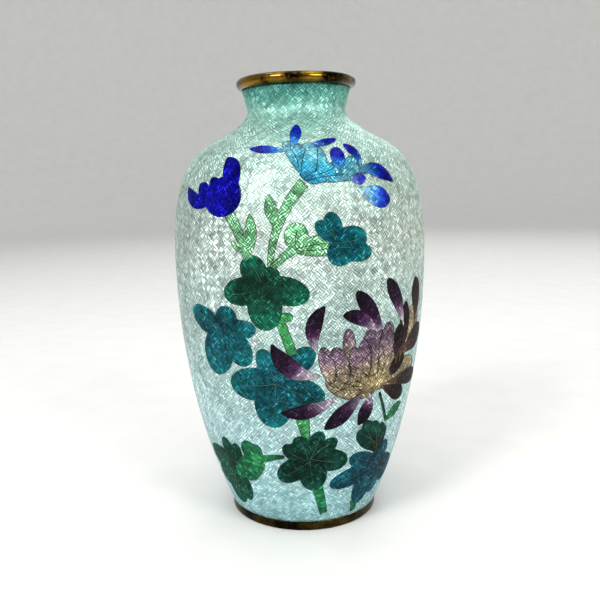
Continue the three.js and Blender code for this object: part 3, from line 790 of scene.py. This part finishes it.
def foil_under_glass(n, shader, tint, foil_look):
    """Clear enamel of one tint over stamped foil: bright strokes, darker grooves and a glossy coat."""
    groove_share, bright_share, whiteness, shine, mottling = foil_look
    place = n.place()
    foil = n.add("ShaderNodeGroup", node_tree=FOIL)
    ridge = foil.outputs["Ridge"]

    shade = n.fit(foil.outputs["Tile"], 0.0, 1.0, 1 - TILE_SHADE, 1 + TILE_SHADE)
    for scale in MOTTLE_SCALES:
        mottle = n.spread(n.noise(place, scale), 1 - mottling, 1 + mottling)
        shade = n.times(shade, mottle)
    groove = n.vector("SCALE", tint, scale=groove_share)
    bright = n.vector("SCALE", n.blend(whiteness, tint, (1.0, 1.0, 1.0, 1.0)), scale=bright_share)
    # Painted highlight: glints make the rarest strokes brighter in the colour, standing in for foil catching
    # the light.
    light = n.times(shade, n.math("ADD", 1.0, n.times(foil.outputs["Glint"], shine)))

    stamped = n.bump(STAMPED, ridge)
    sideways = n.add("ShaderNodeTangent", direction_type="UV_MAP", uv_map="foil").outputs["Tangent"]
    upward = n.vector("CROSS_PRODUCT", n.add("ShaderNodeNewGeometry").outputs["Normal"], sideways)
    turned_by = n.vector("SCALE", sideways, scale=n.fit(foil.outputs["Turn"], 0.0, 1.0, -LEAN, LEAN))
    lean = n.vector("ADD", turned_by, n.vector("SCALE", upward, scale=LEAN))

    n.dress(shader, {
        "Base Color": n.vector("SCALE", n.blend(ridge, groove, bright), scale=light),
        "Roughness": n.fit(ridge, 0.0, 1.0, 0.42, 0.28),
        "Normal": n.vector("NORMALIZE", n.vector("ADD", stamped, lean)),
        "Specular IOR Level": 0.0,
        "Coat Normal": n.bump(WAVY, n.noise(place, 210.0)),
        "Coat Weight": 0.12,
        "Coat Roughness": 0.06,
        "Coat IOR": 1.5,
    })


# Colours of the clear enamels from the base of a petal or lobe to its tip.
LOOKS = {
    "cobalt": [(0, 0x64acc8), (0.3, 0x2468b4), (0.6, 0x04189c), (1, 0x02028c)],
    "bud": [(0, 0x020290), (0.5, 0x01017c), (1, 0x000068)],
    "violet": [(0, 0x7c98d0), (0.5, 0x4048bc), (1, 0x2024a0)],
    "drop": [(0, 0xa8ccd4), (0.35, 0x5898cc), (0.65, 0x1c44b4), (1, 0x0c14a0)],
    "sky": [(0, 0x107ca4), (0.45, 0x2c98b4), (1, 0x80c0cc)],
    "leaf": [(0, 0x032e22), (0.5, 0x064231), (1, 0x0a5642)],
    "fir": [(0, 0x02221a), (0.5, 0x043026), (1, 0x064034)],
    "teal": [(0, 0x033a44), (0.5, 0x084e58), (1, 0x10686e)],
    "deep_teal": [(0, 0x02303c), (0.5, 0x063e4c), (1, 0x0c5464)],
    "sprout": [(0, 0x2f8f4c), (0.5, 0x3c9c5c), (1, 0x50a86c)],
    "shoot": [(0, 0x48ac64), (0.5, 0x3ca45c), (1, 0x34985c)],
    "light": [(0, 0x2c8450), (0.5, 0x207048), (1, 0x165c40)],
    "plum": [(0, 0xbcb4bc), (0.18, 0x9c8ca4), (0.38, 0x46284a), (0.56, 0x1c0a24), (1, 0x0e0512)],
    "lilac": [(0, 0xa08c5c), (0.35, 0x988474), (0.65, 0x7c5c78), (1, 0x5c3c60)],
    "umber": [(0, 0x847050), (0.3, 0x3c2828), (0.6, 0x201216), (1, 0x10080a)],
    "gold": [(0, 0x948044), (0.5, 0xb0a074), (1, 0xa49474)],
}

# Cells whose look differs from the one named after their slot.
OTHER_LOOKS = {
    "bud": ("bud_petals",),
    "drop": ("blue_petal_drop",),
    "shoot": ("middle_stem", "lower_stem"),
    "light": ("light_leaf", "mum_leaf", "bottom_stem", "right_stem"),
    "deep_teal": ("right_leaf",),
    "fir": ("fan_leaf", "bottom_leaf"),
    "umber": ("mum_petal_round", "mum_petal_low"),
}

# Looks with pale foil under them, and how light or dark each look is beside its wires.
FOILS = {"sky": SKY_FOIL, "sprout": STEM_FOIL, "shoot": SKY_FOIL, "lilac": PALE_FOIL, "gold": PALE_FOIL}
EDGES = {"sprout": 0.6, "shoot": 0.6, "lilac": 0.4, "gold": 0.5, "sky": 0.8, "light": 1.0}
EDGE_SHADE = 1.3

# Below 1 a cell's tip colour starts nearer its base, and above 1 its base colour reaches further.
FADES = {
    "mum_petal_round": 0.5, "mum_petal_low": 0.6, "mum_petal_dagger": 0.85,
    "mum_petal_down": 0.85, "mum_petal_wing": 1.25, "mum_petal_tail": 1.15,
    "mum_petal_curl": 0.9, "mum_petal_crescent": 1.35, "mum_petal_upper": 1.15,
    "mum_petal_top": 1.2,
}


def enamel_material(look):
    """Clear coloured enamel over foil, lighter or darker beside the wires."""
    material, n, shader = new_material("enamel_" + look)
    along = n.add("ShaderNodeAttribute", attribute_name="along").outputs["Fac"]
    inset = n.add("ShaderNodeAttribute", attribute_name="inset").outputs["Fac"]
    stir = n.fit(n.noise(n.place(), 130.0, 3.0), 0.2, 0.8, -0.16, 0.16)
    tint = n.ramp(n.math("ADD", along, stir), LOOKS[look])
    edge = n.fit(inset, 0.1, 0.8, EDGES.get(look, EDGE_SHADE), 1.0)
    tint = n.vector("SCALE", tint, scale=edge)
    foil_under_glass(n, shader, tint, FOILS.get(look, DEEP_FOIL))
    n.put(shader.inputs["Metallic"], 0.12)
    return material


# The ground's colour by height in mm: pale and icy low down, silvery at the belly, teal under the rim. The
# belly's lighter tint is partly a painted highlight, standing in for the lights' broad reflection there.
GROUND_TINTS_AND_HIGHLIGHT = [
    (4, 0x80c4cc), (12, 0x90d6de), (40, 0xa6dce0), (80, 0xa8d2ce), (120, 0xb2ccc2),
    (148, 0xa8d6c8), (160, 0xa0dccc), (166, 0x88d4c4), (171, 0x4cb4a4), (176, 0x2c9084),
]
# The strokes are whitest up to the first height, and take the tint's own colour at the second.
WHITE_UP_TO = (158, 178)
NECK_WHITENESS = 0.1


def ground_material():
    """Clear aqua enamel over the foil, tinted by height, with a painted highlight in the belly's tint."""
    material, n, shader = new_material("enamel_ground")
    place = n.place()
    height = n.split(place)["Z"]
    low, high = GROUND_TINTS_AND_HIGHLIGHT[0][0], GROUND_TINTS_AND_HIGHLIGHT[-1][0]
    stir = n.fit(n.noise(place, 90.0, 3.0), 0.2, 0.8, -0.012, 0.012)
    stops = [((z - low) / (high - low), code) for z, code in GROUND_TINTS_AND_HIGHLIGHT]
    # Painted highlight: the lighter tint at the belly stands in for the lights' broad reflection there.
    tint = n.ramp(n.math("ADD", n.fit(height, low * MM, high * MM), stir), stops)
    groove_share, bright_share, whiteness, shine, mottling = GROUND_FOIL
    white = n.fit(height, WHITE_UP_TO[0] * MM, WHITE_UP_TO[1] * MM, whiteness, NECK_WHITENESS)
    foil_under_glass(n, shader, tint, (groove_share, bright_share, white, shine, mottling))
    n.put(shader.inputs["Metallic"], 0.6)
    return material


def turning_lines(n, place, scale):
    """Fine lines round the axis, as a lathe leaves them."""
    return n.add("ShaderNodeMapping", {"Vector": place, "Scale": scale}).outputs["Vector"]


# Brass parts and wires: the colour where they are rubbed, the colour where they aren't, and roughness. On
# the rim and foot the two colours also paint reflections: light patches for the lamps, dark patches for a
# darker surrounding.
BRASSES = {
    "brass_rim": (0x8c6c24, 0x100a03, 0.16),
    "brass_foot": (0x4c4018, 0x0c0a06, 0.28),
    "wire": (0x2c2014, 0x0c0804, 0.5),
    "gilt_wire": (0x648470, 0x304c3c, 0.5),
}


def brass_material(name):
    """Old brass with fine turning lines, rubbed in patches, which on the rim and foot also paint light and
    dark reflections.
    """
    bright, dark, roughness = BRASSES[name]
    material, n, shader = new_material(name)
    place = n.place()
    patches = n.noise(place, 75.0, 4.0)
    specks = n.noise(place, 900.0, 3.0)
    # Painted reflection mixed with rubbing: on the rim and foot these patches stand in for reflections of
    # the lamps and a darker surrounding.
    rubbing_and_reflection = n.math("ADD", n.fit(patches, 0.43, 0.66), n.spread(specks, -0.2, 0.2))
    turning = n.noise(turning_lines(n, place, (120.0, 120.0, 2600.0)), 1.0, 3.0)
    n.dress(shader, {
        "Base Color": n.blend(rubbing_and_reflection, colour(dark), colour(bright)),
        "Roughness": n.spread(specks, roughness - 0.08, roughness + 0.12),
        "Normal": n.bump(TURNED, turning),
        "Metallic": 1.0,
    })
    return material


def copper_material():
    """Spun copper, dull and darkened under the enamel."""
    material, n, shader = new_material("copper")
    place = n.place()
    patches = n.noise(place, 70.0, 5.0)
    stops = [(0.3, 0x6c3c26), (0.5, 0xa8663e), (0.7, 0xc98a5e)]
    n.dress(shader, {
        "Base Color": n.ramp(patches, stops),
        "Normal": n.bump(TURNED, n.noise(turning_lines(n, place, (60.0, 60.0, 1800.0)), 1.0)),
        "Roughness": n.spread(patches, 0.35, 0.55),
        "Metallic": 1.0,
    })
    return material


def silver_material():
    """The foil itself, which the ground enamel covers: crinkled bright silver."""
    material, n, shader = new_material("silver_foil")
    crinkle = n.noise(n.place(), 500.0, 4.0)
    n.dress(shader, {
        "Base Color": n.ramp(crinkle, [(0.3, 0xa8b0ae), (0.7, 0xe4e8e6)]),
        "Normal": n.bump(CRINKLED, crinkle),
        "Roughness": n.spread(crinkle, 0.2, 0.4),
        "Metallic": 1.0,
    })
    return material


def lining_material():
    """Plain counter enamel: blue-green glass, mottled, with fine pits and specks."""
    material, n, shader = new_material("enamel_lining")
    place = n.place()
    clouds = n.noise(place, 60.0, 5.0)
    specks = n.noise(place, 1100.0)
    tint = n.ramp(clouds, [(0.3, 0x3c7f8e), (0.5, 0x4d93a0), (0.7, 0x66a8b0)])
    n.dress(shader, {
        "Base Color": n.blend(n.fit(specks, 0.66, 0.74), tint, colour(0x1f4a56)),
        "Roughness": n.spread(clouds, 0.18, 0.32),
        "Normal": n.bump(PITTED, n.noise(place, 260.0, 3.0)),
        "Coat Weight": 0.5,
        "Coat Roughness": 0.08,
    })
    return material


# ---- the vase

def shell_profile(near, far, floor=None, rows=WALL_STEPS):
    """The outline of a wall layer between two depths. With a floor, it closes on the axis below."""
    heights = np.linspace(WALL_V[0], WALL_V[-1], rows)
    outer = np.stack(wall_at(heights, near), axis=1)
    inner = np.stack(wall_at(heights, far), axis=1)[::-1]
    if floor:
        under, top = floor
        outer = outer[outer[:, 1] > under]
        inner = inner[inner[:, 1] > top + CORNER]
        outer = np.vstack([[0, under], [outer[0][0] - CORNER, under], outer])
        inner = np.vstack([inner, [inner[-1][0] - CORNER, top], [0, top]])
    return [tuple(map(float, point)) for point in np.vstack([outer, inner])]


def make_ground():
    """The clear ground as one turned skin, with the foil's weave running round it."""
    points, faces = turned(shell_profile(0, ENAMEL_DEPTH, rows=GROUND_ROWS))
    piece = make_piece("ground_enamel_skin", points, faces, ground_material(), "aqua", "ground_enamel")
    heights = np.linspace(WALL_V[0], WALL_V[-1], GROUND_ROWS)
    levels = np.interp(np.concatenate([heights, heights[::-1]]), WALL_V, WALL_W)
    around = np.linspace(-math.pi, math.pi, TURNS + 1) * BELLY_RADIUS
    places = []
    for low, high in zip(levels, np.roll(levels, -1)):
        for left, right in zip(around, around[1:]):
            places += [(left, low), (right, low), (right, high), (left, high)]
    set_foil(piece, places)


def bead_profile():
    """The rolled rim's round section."""
    angles = np.linspace(0, math.tau, BEAD_POINTS, endpoint=False)
    heights = RIM_Z + RIM_BEAD * np.sin(angles)
    return list(zip((RIM_RADIUS + RIM_BEAD * np.cos(angles)).tolist(), heights.tolist()))


def foot_profile():
    """The foot ring's section: a plain band with a rounded outer edge and a soldered upper edge."""
    edge = 0.7
    turns = np.linspace(-math.pi / 2, 0, 6)
    low = [(FOOT_OUTER - edge + edge * math.cos(a), edge + edge * math.sin(a)) for a in turns]
    high = [(FOOT_OUTER, FOOT_TOP * 0.5), (FOOT_OUTER - 0.12, FOOT_TOP * 0.8), (FOOT_OUTER - 0.4, FOOT_TOP)]
    inner = [(FOOT_INNER, FOOT_TOP), (FOOT_INNER, FOOT_TOP * 0.5), (FOOT_INNER, 0.3), (FOOT_INNER + 0.3, 0)]
    return low + high + inner


def underside_profile():
    """The thin disc of counter enamel inside the foot ring, slightly dished."""
    edge = 0.25
    return [
        (0, UNDERSIDE_BOTTOM + 0.3), (UNDERSIDE_RADIUS * 0.6, UNDERSIDE_BOTTOM + 0.16),
        (UNDERSIDE_RADIUS - edge, UNDERSIDE_BOTTOM), (UNDERSIDE_RADIUS, UNDERSIDE_BOTTOM + edge),
        (UNDERSIDE_RADIUS, UNDERSIDE_TOP), (0, UNDERSIDE_TOP),
    ]


def make_turned(name, profile, material, slot, node, wave=0.0):
    """A turned piece that stands for one CAD node."""
    make_piece(name, *turned(profile, wave), material, slot, node)


def make_body():
    """Everything but the decoration."""
    make_ground()
    make_turned("rolled_rim", bead_profile(), brass_material("brass_rim"), "brass", "rim_bead", 0.05)
    make_turned("turned_foot", foot_profile(), brass_material("brass_foot"), "brass", "foot_ring", 0.03)
    lining = lining_material()
    make_turned("counter_enamel", shell_profile(*LINING), lining, "lining", "lining_enamel")
    make_turned("spun_copper", shell_profile(*COPPER), copper_material(), "copper", "copper_body")
    make_turned("base_enamel", underside_profile(), lining, "lining", "underside_enamel")
    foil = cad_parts["silver_foil"]
    foil.data.materials.clear()
    foil.data.materials.append(silver_material())


def leaf_veins():
    """Veins up each lobe of the leaves."""
    strokes = {name: cell for name, _, *cell in CELLS}
    lines = []
    for leaf in VEINED_LEAVES:
        for index, stroke in enumerate(strokes[leaf]):
            if stroke[0] == "lobe":
                bend = VEIN_BEND if index % 2 else -VEIN_BEND
                points, _ = spine((*stroke[:6], bend), VEIN_POINTS)
                lines.append(points[VEIN_START:round(VEIN_POINTS * VEIN_REACH)])
    return lines


def flower_lines():
    """The free wires of petals and stems, and the small petals of the flower's heart."""
    lines = [spine(stem(*ends, (0, 0), bend), LINE_POINTS)[0] for *ends, bend in FREE_WIRES]
    for shape in HEART_PETALS:
        lines.append(stroke_outline(petal(*shape))[HEART_OPEN:-HEART_OPEN])
    return lines


def in_sight(line, surveys, names):
    """The longest run of a line over the named cells. It may cross the wires between them."""
    seen = np.zeros(len(line), bool)
    for survey in surveys:
        if survey["name"] not in names:
            continue
        corner = (survey["x"][0, 0], survey["v"][0, 0])
        squares = np.rint((line - corner) / GRID).astype(int)
        last = np.array(survey["own"].shape) - 1
        fits = ((squares >= 0) & (squares <= last)).all(axis=1)
        i, j = squares.clip(0, last).T
        seen |= fits & (survey["own"][i, j] < WIRE_GAP / 2) & (survey["front"][i, j] > WIRE_GAP / 2)
    breaks = np.flatnonzero(np.diff(seen)) + 1
    runs = zip(np.split(line, breaks), [0, *breaks])
    return max((run for run, first in runs if seen[first]), key=len, default=line[:0])


def make_decoration():
    """The enamel fillings, the wires round them and the veins in them."""
    surveys = survey_cells()
    materials = {look: enamel_material(look) for look in LOOKS}
    outlines = []
    for survey in surveys:
        name = survey["name"]
        other_looks = [look for look, names in OTHER_LOOKS.items() if name in names]
        look, = other_looks or [survey["slot"]]
        make_filling(survey, materials[look], FADES.get(name, 1.0))
        outlines.extend(smoothed(line) for line in edge_lines(survey))
    wire = brass_material("wire")
    make_piece("cell_wires", *wire_mesh(outlines, WIRE_HALF), wire, "brass")
    for name, lines, cells, half, material in (
            ("leaf_veins", leaf_veins(), VEINED_LEAVES, VEIN_HALF, brass_material("gilt_wire")),
            ("flower_wires", flower_lines(), WIRED_CELLS, FLOWER_WIRE_HALF, wire)):
        seen = [in_sight(line, surveys, cells) for line in lines]
        seen = [line for line in seen if len(line) > SHORTEST]
        make_piece(name, *wire_mesh(seen, half), material, "brass")


# ---- stage, lights and camera

# The stage in metres: its flat floor's radius, its bend's radius and its wall's top.
STAGE_FLAT = 1.6
STAGE_BEND = 0.7
STAGE_TOP = 1.9
STAGE_TURNS = 96
STAGE_ARC = 14


def make_stage():
    """A plain pale floor that curves up into a round wall."""
    arc = np.linspace(-math.pi / 2, 0, STAGE_ARC)[1:]
    profile = [(0.3, 0.0), (STAGE_FLAT, 0.0)]
    profile += [(STAGE_FLAT + STAGE_BEND * math.cos(a), STAGE_BEND + STAGE_BEND * math.sin(a)) for a in arc]
    profile.append((STAGE_FLAT + STAGE_BEND, STAGE_TOP))
    angles = np.linspace(0, math.tau, STAGE_TURNS, endpoint=False)
    points = [(radius * math.cos(a), radius * math.sin(a), height)
              for radius, height in profile for a in angles]
    faces = [range(STAGE_TURNS)]
    for low in range(0, len(points) - STAGE_TURNS, STAGE_TURNS):
        high = low + STAGE_TURNS
        for i in range(STAGE_TURNS):
            k = (i + 1) % STAGE_TURNS
            faces.append((low + i, high + i, high + k, low + k))
    mesh = bpy.data.meshes.new("floor")
    mesh.from_pydata(points, [], faces)
    mesh.polygons.foreach_set("use_smooth", [True] * len(mesh.polygons))
    material, n, shader = new_material("floor_paper")
    grain = n.noise(n.place(), 40.0, 5.0)
    n.dress(shader, {
        "Base Color": n.blend(grain, colour(0xd8d8d6), colour(0xe4e4e2)),
        "Roughness": 0.7,
    })
    mesh.materials.append(material)
    add_object("floor", mesh)


# Soft lights that face the vase: place and size in metres, power in watts, and colour.
LIGHTS = {
    "key_left": ((-0.7, -0.85, 0.85), (0.4, 0.5), 12.5, (1.0, 0.98, 0.95)),
    "key_right": ((0.75, -0.85, 0.8), (0.4, 0.5), 7, (1.0, 0.97, 0.93)),
    "overhead": ((0, -0.1, 1.5), (1.4, 1.4), 16, (1.0, 1.0, 1.0)),
    "warm_side": ((1.0, 0.5, 0.35), (0.6, 0.8), 1.5, (1.0, 0.86, 0.72)),
    "back_fill": ((0.3, 1.1, 0.9), (0.8, 0.8), 2.5, (1.0, 1.0, 1.0)),
}
LIGHT_TARGET = (0, 0, 0.1)
WORLD_COLOUR = (0.86, 0.9, 0.93, 1)
WORLD_STRENGTH = 0.38


def make_lights():
    """The soft lights and an even pale surrounding."""
    for name, (place, size, power, tint) in LIGHTS.items():
        data = bpy.data.lights.new(name, "AREA")
        data.shape = "RECTANGLE"
        data.size, data.size_y = size
        data.energy = power
        data.color = tint
        light = add_object(name, data)
        light.location = place
        light.rotation_euler = (Vector(LIGHT_TARGET) - light.location).to_track_quat("-Z", "Y").to_euler()
    world = bpy.data.worlds.new("studio")
    world.use_nodes = True
    background = world.node_tree.nodes["Background"]
    background.inputs["Color"].default_value = WORLD_COLOUR
    background.inputs["Strength"].default_value = WORLD_STRENGTH
    bpy.context.scene.world = world


# The camera, fitted to the outline of the vase in the photograph.
FOCAL_LENGTH = 42.98
SENSOR = 36
CAMERA_PLACE = (0, -0.3003, 0.1413)
CAMERA_DOWN = 0.171
CAMERA_TURN = -0.040
CAMERA_ROLL = -0.026
CAMERA_SHIFT = 0.0473


def make_camera():
    """The camera, turned about Z, tilted down and rolled."""
    data = bpy.data.cameras.new("camera")
    data.lens = FOCAL_LENGTH
    data.sensor_width = SENSOR
    data.shift_x = CAMERA_SHIFT
    data.clip_start = 0.01
    camera = add_object("camera", data)
    tilt = Matrix.Rotation(math.pi / 2 - CAMERA_DOWN, 4, "X") @ Matrix.Rotation(CAMERA_ROLL, 4, "Z")
    camera.matrix_world = Matrix.Translation(CAMERA_PLACE) @ Matrix.Rotation(-CAMERA_TURN, 4, "Z") @ tilt
    bpy.context.scene.camera = camera


make_camera()
make_stage()
make_lights()
make_body()
make_decoration()
bpy.context.scene.view_settings.view_transform = "Standard"
